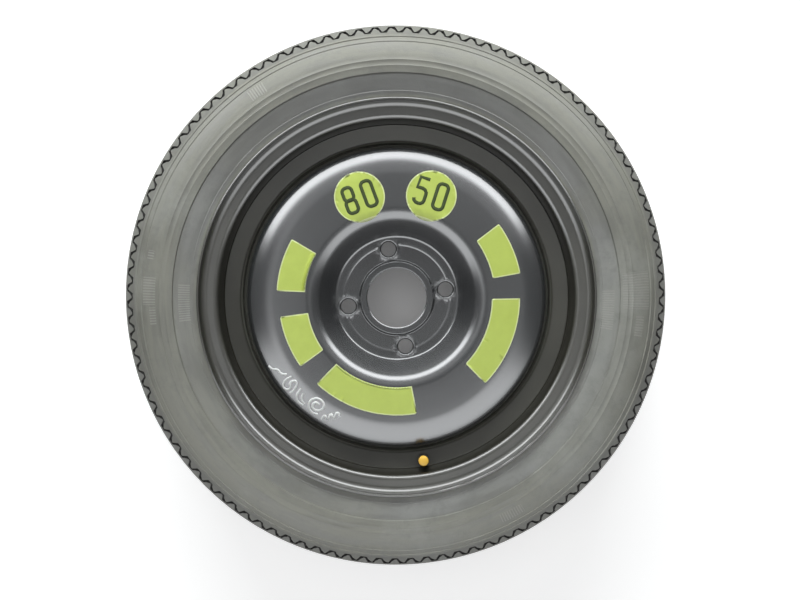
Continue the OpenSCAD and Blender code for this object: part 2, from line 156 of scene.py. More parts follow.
bpy.ops.object.select_all(action="DESELECT")
bpy.ops.mesh.primitive_plane_add(size=FLOOR_SIZE, location=(0, 0, FLOOR_Z - FLOOR_GAP))
floor = bpy.context.object
floor.name = "floor"
bpy.ops.object.transform_apply(location=True)
floor_paper, tree, shader = new_material("floor_paper")
shader.inputs["Base Color"].default_value = (PAPER, PAPER, PAPER, 1)
shader.inputs["Roughness"].default_value = 0.9
shader.inputs["Specular IOR Level"].default_value = 0.1
seen = seen_directly(tree)
# The paper glows white beyond the wheel, and a little where it shows through the bolt holes: there the glow is
# painted light that lifts the shade under the wheel
place = put(tree, "ShaderNodeTexCoord")
from_axle = put(tree, "ShaderNodeVectorMath", operation="LENGTH", i0=place.outputs["Object"])
paper_glow = math_node(tree, "ADD", ramp(tree, from_axle.outputs["Value"], (0.2, 0.0), (0.27, 0.47)),
                         ramp(tree, from_axle.outputs["Value"], (0.03, 0.0), (0.05, 0.1)))
shader.inputs["Emission Color"].default_value = (1, 1, 1, 1)
tree.links.new(math_node(tree, "MULTIPLY", seen, paper_glow), shader.inputs["Emission Strength"])
floor.data.materials.append(floor_paper)
floor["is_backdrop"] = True

AIR_LEVEL = 0.22
world = bpy.data.worlds.new("studio_air")
scene.world = world
world.use_nodes = True
tree = world.node_tree
seen = seen_directly(tree)
tree.links.new(ramp(tree, seen, (0, AIR_LEVEL), (1, 1.0)), tree.nodes["Background"].inputs["Strength"])
tree.nodes["Background"].inputs["Color"].default_value = (0.97, 0.98, 1, 1)

# The room that the paint mirrors: a dome with a bright strip behind, a bright side in front and a dim ceiling
ROOM_R = 2.7
ROOM_LEVEL = 0.12
# Level, from and to degrees off the zenith, azimuth, spread either side of it, softness
GLOWS = (
    (0.45, 4.5, 26, 0, 180, 3),
    (1.0, 22, 46, 90, 62, 4),
    (8.8, 50, 77, 92, 60, 3),
    (0.9, 80, 90, 90, 40, 4),
    (3.7, 23, 73, 267, 60, 4),
    (0.9, 76, 90, 267, 60, 4),
    (0.8, 16, 34, 180, 30, 4),
    (0.15, 34, 80, 180, 30, 4),
    (0.1, 20, 80, 0, 20, 4))
bpy.ops.object.select_all(action="DESELECT")
bpy.ops.mesh.primitive_uv_sphere_add(segments=48, ring_count=24, radius=ROOM_R)
room = bpy.context.object
room.name = "room"
bpy.ops.object.mode_set(mode="EDIT")
bpy.ops.mesh.select_all(action="SELECT")
bpy.ops.mesh.bisect(plane_co=(0, 0, FLOOR_Z), plane_no=(0, 0, 1), clear_inner=True)
bpy.ops.object.mode_set(mode="OBJECT")
for ray in ("camera", "diffuse", "shadow", "transmission", "volume_scatter"):
    setattr(room, "visible_" + ray, False)
room_walls, tree, shader = new_material("room_walls")
shader.inputs["Base Color"].default_value = (0, 0, 0, 1)
shader.inputs["Specular IOR Level"].default_value = 0
shader.inputs["Emission Color"].default_value = (0.96, 0.98, 1, 1)
place = put(tree, "ShaderNodeTexCoord")
facing = put(tree, "ShaderNodeVectorMath", operation="NORMALIZE", i0=place.outputs["Object"])
way = put(tree, "ShaderNodeSeparateXYZ", Vector=facing.outputs["Vector"])
level_way = put(tree, "ShaderNodeVectorMath", operation="MULTIPLY", i0=place.outputs["Object"], i1=(1, 1, 0))
level_way = put(tree, "ShaderNodeVectorMath", operation="NORMALIZE", i0=level_way.outputs["Vector"])


def glow(level, low, high, azimuth, spread, soft):
    """Light from the part of the room between two angles off the zenith, to that spread either side of an azimuth."""
    amount = ramp(tree, way.outputs[2], (math.cos(math.radians(high + soft)), 0.0),
                  (math.cos(math.radians(max(high - soft, 0))), level))
    if low:
        edge = ramp(tree, way.outputs[2], (math.cos(math.radians(low + soft)), 1.0),
                    (math.cos(math.radians(max(low - soft, 0))), 0.0))
        amount = math_node(tree, "MULTIPLY", amount, edge)
    if spread < 180:
        a = math.radians(azimuth)
        towards = put(tree, "ShaderNodeVectorMath", operation="DOT_PRODUCT", i0=level_way.outputs["Vector"],
                      i1=(math.cos(a), math.sin(a), 0))
        side = ramp(tree, towards.outputs["Value"], (math.cos(math.radians(spread + 3 * soft)), 0.0),
                    (math.cos(math.radians(spread - soft)), 1.0))
        amount = math_node(tree, "MULTIPLY", amount, side)
    return amount


total = ROOM_LEVEL
for light in GLOWS:
    total = math_node(tree, "ADD", total, glow(*light))
tree.links.new(total, shader.inputs["Emission Strength"])
room.data.materials.append(room_walls)
room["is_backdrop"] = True


def lamp(name, azimuth, zenith, distance, width, height, level, colour=(1, 1, 1)):
    """A soft lamp in that direction from the wheel. A face square to it gets that share of full light."""
    a, z = math.radians(azimuth), math.radians(zenith)
    light = bpy.data.lights.new(name, "AREA")
    light.shape = "RECTANGLE"
    light.size = width
    light.size_y = height
    light.energy = level * math.pi * math.pi * distance ** 2
    light.color = colour
    holder = bpy.data.objects.new(name, light)
    scene.collection.objects.link(holder)
    holder.location = distance * Vector((math.sin(z) * math.cos(a), math.sin(z) * math.sin(a), math.cos(z)))
    holder.rotation_euler = holder.location.to_track_quat("Z", "Y").to_euler()
    holder.visible_camera = False
    holder.visible_glossy = False


lamp("lamp_behind", 96, 67, 2.3, 1.8, 0.8, 1.12, (0.96, 1, 0.99))
lamp("lamp_above", 120, 15, 2.2, 1.8, 1.8, 0.24)

# ---- Rim ----
# Rolled from steel strip into a drop-centre ring and welded shut, then painted black with the disc.
# Its flanges end in round lips. Road dust lies on the seats and in the well.


def dressed(node, name, finish, angle=30, body="wheel"):
    """A copy of a CAD node with its doubles merged and its rounds shaded smooth, standing for the node."""
    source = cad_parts[node]
    piece = bpy.data.objects.new(name, source.data.copy())
    scene.collection.objects.link(piece)
    only(piece)
    bpy.ops.object.mode_set(mode="EDIT")
    bpy.ops.mesh.select_all(action="SELECT")
    bpy.ops.mesh.remove_doubles(threshold=0.000002)
    bpy.ops.object.mode_set(mode="OBJECT")
    bpy.ops.object.shade_smooth_by_angle(angle=math.radians(angle))
    piece.data.materials.clear()
    piece.data.materials.append(finish)
    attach(piece, body)
    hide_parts(node)
    return piece


def new_group(name, inputs, outputs):
    """A shader node group with plain number inputs and outputs."""
    group = bpy.data.node_groups.new(name, "ShaderNodeTree")
    for title, default in inputs:
        group.interface.new_socket(title, in_out="INPUT", socket_type="NodeSocketFloat").default_value = default
    for title in outputs:
        group.interface.new_socket(title, in_out="OUTPUT", socket_type="NodeSocketFloat")
    return group, group.nodes.new("NodeGroupInput"), group.nodes.new("NodeGroupOutput")


# Distance from the axle and angle round it, for every pattern that follows the wheel
around, entry, leave = new_group("around_axle", [], ["Radius", "Angle", "Height"])
place = put(around, "ShaderNodeTexCoord")
parts = put(around, "ShaderNodeSeparateXYZ", Vector=place.outputs["Object"])
squared = math_node(around, "ADD", math_node(around, "POWER", parts.outputs[0], 2.0),
                    math_node(around, "POWER", parts.outputs[1], 2.0))
around.links.new(math_node(around, "SQRT", squared), leave.inputs["Radius"])
around.links.new(math_node(around, "ARCTAN2", parts.outputs[1], parts.outputs[0]), leave.inputs["Angle"])
around.links.new(parts.outputs[2], leave.inputs["Height"])

# Settled dust: soft clouds with grain in them, more on faces that look up
dust, entry, leave = new_group("settled_dust", [("Scale", 1.0), ("Amount", 0.5), ("Grain", 1.0)], ["Mask"])
place = put(dust, "ShaderNodeTexCoord")
size = math_node(dust, "MULTIPLY", entry.outputs["Scale"], 9.0)
clouds = put(dust, "ShaderNodeTexNoise", Vector=place.outputs["Object"], Scale=size, Detail=6.0, Roughness=0.62)
size = math_node(dust, "MULTIPLY", entry.outputs["Scale"], 900.0)
grain = put(dust, "ShaderNodeTexNoise", Vector=place.outputs["Object"], Scale=size, Detail=2.0)
up = put(dust, "ShaderNodeSeparateXYZ", Vector=put(dust, "ShaderNodeNewGeometry").outputs["Normal"])
specks = math_node(dust, "MULTIPLY", ramp(dust, grain.outputs["Fac"], (0.3, -0.4), (0.7, 0.1)),
                   entry.outputs["Grain"])
level = math_node(dust, "MULTIPLY", ramp(dust, clouds.outputs["Fac"], (0.3, 0.25), (0.72, 1.0)),
                  math_node(dust, "ADD", specks, 1.0))
level = math_node(dust, "MULTIPLY", level, ramp(dust, up.outputs[2], (-0.2, 0.25), (0.9, 1.0)))
dust.links.new(math_node(dust, "MULTIPLY", level, entry.outputs["Amount"], clamp=True), leave.inputs["Mask"])


def use(tree, group, **values):
    """A group placed in a material, with its own values."""
    node = tree.nodes.new("ShaderNodeGroup")
    node.node_tree = group
    for key, value in values.items():
        if isinstance(value, bpy.types.NodeSocket):
            tree.links.new(value, node.inputs[key])
        else:
            node.inputs[key].default_value = value
    return node.outputs


# Paler paint in the narrow seam between the disc and the rim: partly dust that gathers there, partly painted light
# that lifts the seam's deep shade
seam, entry, leave = new_group("seam_dust_and_painted_light", [], ["Mask"])
spot = use(seam, around)
level = math_node(seam, "MULTIPLY", ramp(seam, spot["Radius"], (0.158, 0.0), (0.165, 1.0)),
                  ramp(seam, spot["Radius"], (0.1695, 1.0), (0.1705, 0.0)))
seam.links.new(math_node(seam, "MULTIPLY", level, ramp(seam, spot["Height"], (0.004, 1.0), (0.018, 0.0))),
               leave.inputs["Mask"])


def black_paint(name, black, dusty, dust_amount, roughness, specular, grain=1.0, peel=0.01):
    """Semi-gloss black paint with dust on it, and a paler seam of dust and painted light."""
    made, tree, shader = new_material(name)
    mask = use(tree, dust, Scale=1.0, Amount=dust_amount, Grain=grain)["Mask"]
    colour = mix(tree, mask, black, dusty)
    # The seam's paler colour is dust and painted light in its shade
    tree.links.new(mix(tree, use(tree, seam)["Mask"], colour, (0.16, 0.16, 0.14, 1)), shader.inputs["Base Color"])
    tree.links.new(ramp(tree, mask, (0.0, roughness), (0.8, 0.6)), shader.inputs["Roughness"])
    shader.inputs["Specular IOR Level"].default_value = specular
    place = put(tree, "ShaderNodeTexCoord")
    orange_peel = put(tree, "ShaderNodeTexNoise", Vector=place.outputs["Object"], Scale=420.0, Detail=2.0)
    bump = put(tree, "ShaderNodeBump", Strength=peel, Distance=0.0004, Height=orange_peel.outputs["Fac"])
    tree.links.new(bump.outputs["Normal"], shader.inputs["Normal"])
    return made, tree, shader


rim_paint, tree, shader = black_paint("rim_paint", (0.02, 0.019, 0.014, 1), (0.045, 0.044, 0.032, 1), 0.45, 0.3, 0.5)
shader.inputs["Coat Roughness"].default_value = 0.2
shader.inputs["Coat IOR"].default_value = 1.6
tree.links.new(ramp(tree, use(tree, around)["Height"], (0.012, 0.0), (0.03, 1.0)), shader.inputs["Coat Weight"])

MM = 0.001
# The rim's middle plane, in millimetres from the origin, and the strip's thickness
MIDDLE_Z = -18.0
RIM_T = 2.6
RIM_STEPS = 180
# Corners of the section down its tyre side: radius, height over the rim's middle, rounding
seat = [(207.4, 62.3, 0), (207.4, 50.8, 9.5), (190.1, 50.8, 2.6), (188.7, 34.8, 4), (190.2, 31.4, 2.4),
        (190.2, 28.8, 1.6)]
corners = seat + [(188.8, 24.4, 2.8), (171.8, 20.5, 1.5), (171.8, -16.5, 5), (188.8, -25.8, 5)]
corners += [(r, -z, rounding) for r, z, rounding in reversed(seat)]


def beside(corners, gap):
    """The corners of the path that runs beside another one, with its roundings grown or shrunk."""
    spots = [Vector(corner[:2]) for corner in corners]
    ways = [(b - a).normalized() for a, b in zip(spots, spots[1:])]
    moved = []
    for number, spot in enumerate(spots):
        before = ways[max(number - 1, 0)]
        after = ways[min(number, len(ways) - 1)]
        n, m = Vector((-before.y, before.x)), Vector((-after.y, after.x))
        place = spot + (n + m) * gap / (1 + n.dot(m))
        bend = math.copysign(1, before.cross(after))
        rounding = corners[number][2]
        moved.append((place.x, place.y, max(0.5, rounding - gap * bend) if rounding else 0))
    return moved


def rounded(corners):
    """The points of a path whose corners are rounded."""
    points = [corners[0][:2]]
    for before, corner, after in zip(corners, corners[1:], corners[2:]):
        spot = Vector(corner[:2])
        to_before = (Vector(before[:2]) - spot).normalized()
        to_after = (Vector(after[:2]) - spot).normalized()
        half = to_before.angle(to_after) / 2
        middle = spot + (to_before + to_after).normalized() * corner[2] / math.sin(half)
        first = spot + to_before * corner[2] / math.tan(half) - middle
        sweep = (math.pi - 2 * half) * math.copysign(1, to_after.cross(to_before))
        steps = max(1, math.ceil(abs(sweep) / math.radians(12)))
        for step in range(steps + 1):
            a = sweep * step / steps
            points.append((middle.x + first.x * math.cos(a) - first.y * math.sin(a),
                           middle.y + first.x * math.sin(a) + first.y * math.cos(a)))
    return points + [corners[-1][:2]]


def drawn_section(name, outline):
    """A closed outline in the plane through the axle, ready to be spun."""
    bpy.ops.object.select_all(action="DESELECT")
    bpy.ops.mesh.primitive_plane_add(size=0.01)
    piece = bpy.context.object
    piece.name = name
    bpy.ops.object.mode_set(mode="EDIT")
    bpy.ops.mesh.select_all(action="SELECT")
    bpy.ops.mesh.merge(type="CENTER")
    bpy.ops.transform.translate(value=(outline[0][0] * MM, 0, (outline[0][1] + MIDDLE_Z) * MM))
    for before, after in zip(outline, outline[1:]):
        step = ((after[0] - before[0]) * MM, 0, (after[1] - before[1]) * MM)
        bpy.ops.mesh.extrude_region_move(TRANSFORM_OT_translate={"value": step})
    bpy.ops.mesh.select_all(action="SELECT")
    bpy.ops.mesh.edge_face_add()
    bpy.ops.mesh.delete(type="ONLY_FACE")
    bpy.ops.object.mode_set(mode="OBJECT")
    return piece


def lip(side):
    """The round edge of one flange, from the tyre's side inwards."""
    half = RIM_T / 2
    middle = (corners[0][0] - half, corners[0][1] - half)
    arc = [math.radians(30 * step) for step in range(1, 6)]
    return [(middle[0] + half * math.cos(a), side * (middle[1] + half * math.sin(a))) for a in arc]


tyre_side, air_side = rounded(corners), rounded(beside(corners, -RIM_T))
for path in (tyre_side, air_side):
    path[0] = (path[0][0], corners[0][1] - RIM_T / 2)
    path[-1] = (path[-1][0], RIM_T / 2 - corners[0][1])
rim = drawn_section("rim_ring", tyre_side + lip(-1) + air_side[::-1] + lip(1)[::-1])
bpy.ops.object.mode_set(mode="EDIT")
bpy.ops.mesh.select_all(action="SELECT")
bpy.ops.mesh.spin(steps=RIM_STEPS, angle=2 * math.pi, center=(0, 0, 0), axis=(0, 0, 1))
bpy.ops.mesh.select_all(action="SELECT")
bpy.ops.mesh.remove_doubles(threshold=0.00001)
bpy.ops.mesh.normals_make_consistent(inside=False)
bpy.ops.object.mode_set(mode="OBJECT")

# The valve's hole, drilled square to the front wall of the well
VALVE_HOLE_R = 5.65 * MM
DRILL_LENGTH = 16 * MM
VALVE_AT = Vector((28.83, -177.99, 7.11)) * MM
VALVE_WAY = Vector((-0.0359656, 0.2220580, 0.9743701))
bpy.ops.object.select_all(action="DESELECT")
bpy.ops.mesh.primitive_cylinder_add(vertices=48, radius=VALVE_HOLE_R, depth=DRILL_LENGTH, location=VALVE_AT,
                                    rotation=VALVE_WAY.to_track_quat("Z", "Y").to_euler())
drill = bpy.context.object
only(rim)
cut = rim.modifiers.new("valve_hole", "BOOLEAN")
cut.object = drill
cut.solver = "EXACT"
bpy.ops.object.modifier_apply(modifier=cut.name)
only(drill)
bpy.ops.object.delete()
only(rim)
bpy.ops.object.shade_smooth_by_angle(angle=math.radians(30))
rim.data.materials.append(rim_paint)
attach(rim, "wheel")
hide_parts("rim")

# ---- Wheel disc ----
# One pressing of sheet steel, with the hub pad, its bosses, the dish and the crown.
# It is pushed into the rim and welded there, under smooth black paint with a clear shine.
disc_paint, tree, shader = black_paint("disc_paint", (0.02, 0.021, 0.022, 1), (0.06, 0.066, 0.065, 1),
                                       0.12, 0.24, 1.0, 0.0, 0.0)
shader.inputs["Coat Weight"].default_value = 0.6
shader.inputs["Coat Roughness"].default_value = 0.2
disc = dressed("wheel_disc", "pressed_disc", disc_paint)
even = disc.modifiers.new("even_shading", "WEIGHTED_NORMAL")
even.mode = "FACE_AREA_WITH_ANGLE"
even.keep_sharp = True
bpy.ops.object.modifier_apply(modifier=even.name)

# ---- Weld beads ----
# Eight short fillets of weld steel run between the disc's skirt and the rim, behind the disc.
# They are painted over with the wheel.
weld_paint, tree, shader = black_paint("weld_paint", (0.015, 0.015, 0.014, 1), (0.1, 0.09, 0.07, 1), 0.4, 0.4, 0.5)
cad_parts["weld_beads"].data.materials.clear()
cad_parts["weld_beads"].data.materials.append(weld_paint)

# ---- Valve ----
# A snap-in rubber body, moulded on a brass stem, is pulled into the rim's hole. The core screws into the stem,
# with its pin, seals and spring, and a yellow plastic cap screws on top.


def plain_finish(name, colour, roughness, metallic=0.0, grain=300.0, shade=0.75):
    """A finish with fine mottling in its colour and roughness."""
    made, tree, shader = new_material(name)
    place = put(tree, "ShaderNodeTexCoord")
    spots = put(tree, "ShaderNodeTexNoise", Vector=place.outputs["Object"], Scale=grain, Detail=4.0)
    darker = tuple(shade * c for c in colour[:3]) + (1,)
    tree.links.new(mix(tree, spots.outputs["Fac"], darker, colour), shader.inputs["Base Color"])
    tree.links.new(ramp(tree, spots.outputs["Fac"], (0.2, roughness), (0.8, roughness + 0.15)),
                   shader.inputs["Roughness"])
    shader.inputs["Metallic"].default_value = metallic
    bump = put(tree, "ShaderNodeBump", Strength=0.15, Distance=0.0002, Height=spots.outputs["Fac"])
    tree.links.new(bump.outputs["Normal"], shader.inputs["Normal"])
    return made


valve_rubber = plain_finish("valve_rubber", (0.03, 0.03, 0.028, 1), 0.6)
brass = plain_finish("brass", (0.55, 0.4, 0.16, 1), 0.3, metallic=1.0, grain=900.0)
spring_steel = plain_finish("spring_steel", (0.5, 0.5, 0.5, 1), 0.3, metallic=1.0, grain=900.0)
seal_plastic = plain_finish("seal_plastic", (0.62, 0.62, 0.58, 1), 0.4)
cap_plastic = plain_finish("cap_plastic", (0.83, 0.48, 0.03, 1), 0.38, grain=500.0, shade=0.85)
dressed("valve_body", "valve_rubber_body", valve_rubber)
dressed("valve_stem", "valve_brass_stem", brass)
dressed("core_barrel", "core_barrel_brass", brass)
dressed("core_gasket", "core_gasket_ring", seal_plastic)
dressed("core_pin", "core_pin_brass", brass, body="core_plunger")
dressed("core_cup_seal", "core_cup_rubber", valve_rubber, body="core_plunger")
dressed("valve_cap", "valve_cap_yellow", cap_plastic, body="cap")
# The spring, which shortens towards its seat by the way that the pin goes in, gets a mesh of its own
coil = dressed("core_spring", "core_spring_coil", spring_steel)
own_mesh(coil)

# ---- Tyre ----
# Rubber, moulded in one piece over plies and bead wires, and pressed on the rim's seats. The sidewalls have fine
# rings, each shoulder has a zigzag groove and the tread has three grooves. Sizes are in millimetres.
PITCHES = 104
SHOULDER_FOOT = (272.0, 55.8)
SHOULDER_TOP = (286.0, 45.0)
GROOVE_W = 2.3
GROOVE_DEPTH = 2.6
GROOVE_ACROSS = 8.4
GROOVE_OUT = 1
# Corners of the groove's line, and how far before or after them its two sides bend, as shares of one zigzag
CORNERS = (0.0, 0.3, 0.5, 0.8)
MITRE = 0.0473
# How near a vertex lies to its row, and from where in the shoulder the groove gets its dark finish of dirt and
# painted shade
ROW_REACH = 0.02
DARK_GROOVE_DEPTH = 0.5
DARK_GROOVE_FROM_R = 270


def ring_line(r, z, height=0.3, width=0.9):
    """A thin moulded line round the sidewall."""
    return [(r - width, z), (r, z + height), (r + width, z)]


bead = [
    (190.4, 36.3), (189.0, 37.8), (189.6, 44.0), (190.6, 47.5), (193.5, 50.3), (198.0, 50.9), (202.6, 52.6),
    (205.6, 54.6)]
sidewall = [
    *bead, (207.6, 57.0), (208.4, 57.2),
    (212.5, 57.5), *ring_line(214.5, 58.0, 0.25, 0.6), (218.0, 59.0), (222.0, 60.0), (226.0, 60.9), (229.6, 61.7),
    (231.2, 61.6), (231.9, 62.8), (232.9, 62.95), *ring_line(239.0, 62.98, 0.22, 0.5),
    *ring_line(244.8, 62.85, 0.3, 0.6),
    (248.5, 62.55), (252.5, 61.7), (257.0, 60.5), (261.5, 59.15), *ring_line(265.2, 58.0, 0.4, 0.8),
    *ring_line(270.7, 56.25, 0.5, 0.9)]
back_sidewall = [
    *bead, (208.0, 57.6), (216.0, 59.3), (229.6, 61.7), (231.2, 61.6), (231.9, 62.8), (232.9, 62.95),
    (240.0, 62.98), (248.5, 62.55), (257.0, 60.5), *ring_line(265.2, 58.0, 0.4, 0.8), (271.0, 56.2)]
along = Vector((SHOULDER_TOP[0] - SHOULDER_FOOT[0], SHOULDER_TOP[1] - SHOULDER_FOOT[1])).normalized()
outward = Vector((-along.y, along.x))
shoulder_mid = (Vector(SHOULDER_FOOT) + Vector(SHOULDER_TOP)) / 2


def on_shoulder(distance, depth=0.0):
    """A point of the shoulder: its distance along the flat from its middle, and its depth under it."""
    spot = shoulder_mid + along * distance - outward * depth
    return (spot.x, spot.y)


# The groove's four rows lie at the middle here; each column moves them across later
groove_rows = [on_shoulder(GROOVE_OUT - GROOVE_W / 2), on_shoulder(GROOVE_OUT - GROOVE_W / 2, GROOVE_DEPTH),
               on_shoulder(GROOVE_OUT + GROOVE_W / 2, GROOVE_DEPTH), on_shoulder(GROOVE_OUT + GROOVE_W / 2)]
shoulder = [on_shoulder(-7.6, 0.1), on_shoulder(-6.7), *groove_rows, on_shoulder(7.4)]
tread = [(286.1, 44.1), (287.4, 41.9), (288.5, 38.4), (289.3, 32.0), (290.1, 21.3), (285.9, 21.2), (285.9, 16.8),
         (290.3, 16.7), (290.5, 2.6), (286.0, 2.4)]
inside = [(280.8, 24.0), (268.0, 48.5), (248.0, 56.5), (220.0, 53.0), (199.5, 40.0)]
outline = sidewall + shoulder + tread + [(r, -z) for r, z in reversed(back_sidewall + shoulder + tread)]
outline += [(r, -z) for r, z in reversed(inside)] + inside

tyre = drawn_section("tyre_rubber", outline)

# Columns of one pitch, turned out of the outline one after the other. They come to lie twice MITRE beside the
# bends that wave() has, so the groove is 2.2 to 4.1 mm wide instead of an even GROOVE_W.
fractions = sorted(c + s for c in CORNERS for s in (-MITRE, MITRE))
pitch = 2 * math.pi / PITCHES
bpy.ops.object.mode_set(mode="EDIT")
bpy.ops.mesh.select_all(action="SELECT")
bpy.ops.transform.rotate(value=-fractions[0] * pitch, orient_axis="Z", center_override=(0, 0, 0))
for here, there in zip(fractions, fractions[1:] + [fractions[0] + 1]):
    bpy.ops.mesh.spin(steps=1, angle=(there - here) * pitch, center=(0, 0, 0), axis=(0, 0, 1))
bpy.ops.object.mode_set(mode="OBJECT")


def wave(share, lean):
    """How far across the groove's side lies at that share of the pitch; lean shifts its corners along the pitch."""
    corners = [(CORNERS[0] - lean, -1), (CORNERS[1] + lean, -1), (CORNERS[2] + lean, 1), (CORNERS[3] - lean, 1)]
    corners = [(x - 1, s) for x, s in corners[-1:]] + corners + [(x + 1, s) for x, s in corners[:1]]
    for (a, s), (b, t) in zip(corners, corners[1:]):
        if a - 1e-6 <= share <= b + 1e-6:
            return s + (t - s) * (share - a) / (b - a)
    return -1


for side in (1, -1):
    for number, row in enumerate(groove_rows):
        lean = MITRE if number < 2 else -MITRE
        for vertex in tyre.data.vertices:
            r = math.hypot(vertex.co.x, vertex.co.y) / MM
            z = (vertex.co.z / MM - MIDDLE_Z) * side
            if abs(r - row[0]) < ROW_REACH and abs(z - row[1]) < ROW_REACH:
                angle = math.atan2(vertex.co.y, vertex.co.x)
                shift = wave(-angle / pitch % 1, lean) * GROOVE_ACROSS / 2
                r_new = (row[0] + along.x * shift) * MM
                vertex.co = (r_new * math.cos(angle), r_new * math.sin(angle),
                             (side * (row[1] + along.y * shift) + MIDDLE_Z) * MM)

# Faces inside the zigzag groove get the dark finish: dirt, and painted shade for the deep groove
for face in tyre.data.polygons:
    middle = Vector((0.0, 0.0))
    for number in face.vertices:
        corner = tyre.data.vertices[number].co
        middle += Vector((math.hypot(corner.x, corner.y) / MM, abs(corner.z / MM - MIDDLE_Z))) / len(face.vertices)
    under = (shoulder_mid - middle).dot(outward)
    if under > DARK_GROOVE_DEPTH and abs((middle - shoulder_mid).dot(along)) < GROOVE_ACROSS and middle.x > DARK_GROOVE_FROM_R:
        face.material_index = 1

bpy.ops.object.mode_set(mode="EDIT")
bpy.ops.mesh.select_all(action="SELECT")
bpy.ops.mesh.spin(steps=PITCHES, dupli=True, angle=2 * math.pi, center=(0, 0, 0), axis=(0, 0, 1))
bpy.ops.mesh.select_all(action="SELECT")
bpy.ops.mesh.remove_doubles(threshold=0.00001)
bpy.ops.mesh.normals_make_consistent(inside=False)
bpy.ops.object.mode_set(mode="OBJECT")
bpy.ops.object.shade_smooth_by_angle(angle=math.radians(32))

# Fine ribs across a stretch of the sidewall: angle of its middle, half its length, and its inner and outer radius
RIBS_ROUND = 572.0
ribs, entry, leave = new_group("moulded_ribs", [("Middle", 0.0), ("Spread", 0.1), ("Inner", 0.2), ("Outer", 0.25)],
                               ["Height"])
spot = use(ribs, around)
turn = math_node(ribs, "ABSOLUTE", math_node(ribs, "ARCTAN2", math_node(
    ribs, "SINE", math_node(ribs, "SUBTRACT", spot["Angle"], entry.outputs["Middle"])), math_node(
    ribs, "COSINE", math_node(ribs, "SUBTRACT", spot["Angle"], entry.outputs["Middle"]))))
field = math_node(ribs, "LESS_THAN", turn, entry.outputs["Spread"])
field = math_node(ribs, "MULTIPLY", field, math_node(ribs, "GREATER_THAN", spot["Radius"], entry.outputs["Inner"]))
field = math_node(ribs, "MULTIPLY", field, math_node(ribs, "LESS_THAN", spot["Radius"], entry.outputs["Outer"]))
wavy = math_node(ribs, "SINE", math_node(ribs, "MULTIPLY", spot["Angle"], RIBS_ROUND))
ribs.links.new(math_node(ribs, "MULTIPLY", math_node(ribs, "MULTIPLY_ADD", wavy, 0.5, 0.5), field),
               leave.inputs["Height"])

tyre_rubber, tree, shader = new_material("tyre_rubber")
spot = use(tree, around)
place = put(tree, "ShaderNodeTexCoord")
# Smears run round the sidewall: noise on the unrolled ring
unrolled = put(tree, "ShaderNodeCombineXYZ", X=math_node(tree, "MULTIPLY", spot["Radius"], 110.0),
               Y=math_node(tree, "MULTIPLY", math_node(tree, "COSINE", spot["Angle"]), 4.0),
               Z=math_node(tree, "MULTIPLY", math_node(tree, "SINE", spot["Angle"]), 4.0))
smears = put(tree, "ShaderNodeTexNoise", Vector=unrolled.outputs[0], Scale=1.0, Detail=5.0, Roughness=0.6)
clouds = put(tree, "ShaderNodeTexNoise", Vector=place.outputs["Object"], Scale=7.0, Detail=8.0, Roughness=0.62)
worn = put(tree, "ShaderNodeTexNoise", Vector=place.outputs["Object"], Scale=60.0, Detail=6.0, Roughness=0.7)
inner_band = math_node(tree, "MULTIPLY", ramp(tree, spot["Radius"], (0.2095, 0.0), (0.213, 1.0)),
                       ramp(tree, spot["Radius"], (0.229, 1.0), (0.233, 0.0)))
bluish = math_node(tree, "MULTIPLY", inner_band, ramp(tree, clouds.outputs["Fac"], (0.35, 0.3), (0.6, 1.0)))
tint = mix(tree, bluish, (0.168, 0.168, 0.138, 1), (0.158, 0.16, 0.152, 1))
tint = mix(tree, ramp(tree, smears.outputs["Fac"], (0.35, 0.45), (0.62, 0.0)), tint, (0.1, 0.1, 0.09, 1))
tint = mix(tree, ramp(tree, clouds.outputs["Fac"], (0.5, 0.0), (0.7, 0.7)), tint, (0.23, 0.235, 0.21, 1))
tint = mix(tree, ramp(tree, worn.outputs["Fac"], (0.3, 0.35), (0.5, 0.0)), tint, (0.1, 0.1, 0.09, 1))
# The tread and the bead stay darker than the dusty sidewall
bare = math_node(tree, "MAXIMUM", ramp(tree, spot["Radius"], (0.2715, 0.0), (0.274, 0.4)),
                 ramp(tree, spot["Radius"], (0.206, 0.8), (0.2105, 0.0)))
tint = mix(tree, bare, tint, (0.07, 0.07, 0.064, 1))
# Painted shade: a dark line along the small step in the sidewall, darkest towards the lamp behind, where the step's
# rise faces away from it
painted_step_shade = math_node(tree, "MULTIPLY", ramp(tree, spot["Radius"], (0.2302, 0.0), (0.2312, 0.55)),
                      ramp(tree, spot["Radius"], (0.2318, 1.0), (0.2328, 0.0)))
towards_top = ramp(tree, math_node(tree, "SINE", spot["Angle"]), (0.2, 0.0), (0.9, 0.7))
tint = mix(tree, math_node(tree, "MULTIPLY", painted_step_shade, towards_top), tint, (0.05, 0.05, 0.045, 1))
# Painted shade: the inner band of the sidewall darkens towards the lamp behind, where it slopes away from that lamp
painted_band_shade = math_node(tree, "MULTIPLY", inner_band,
                   ramp(tree, math_node(tree, "SINE", spot["Angle"]), (0.3, 0.0), (1.0, 0.6)))
tint = mix(tree, painted_band_shade, tint, (0.08, 0.08, 0.075, 1))
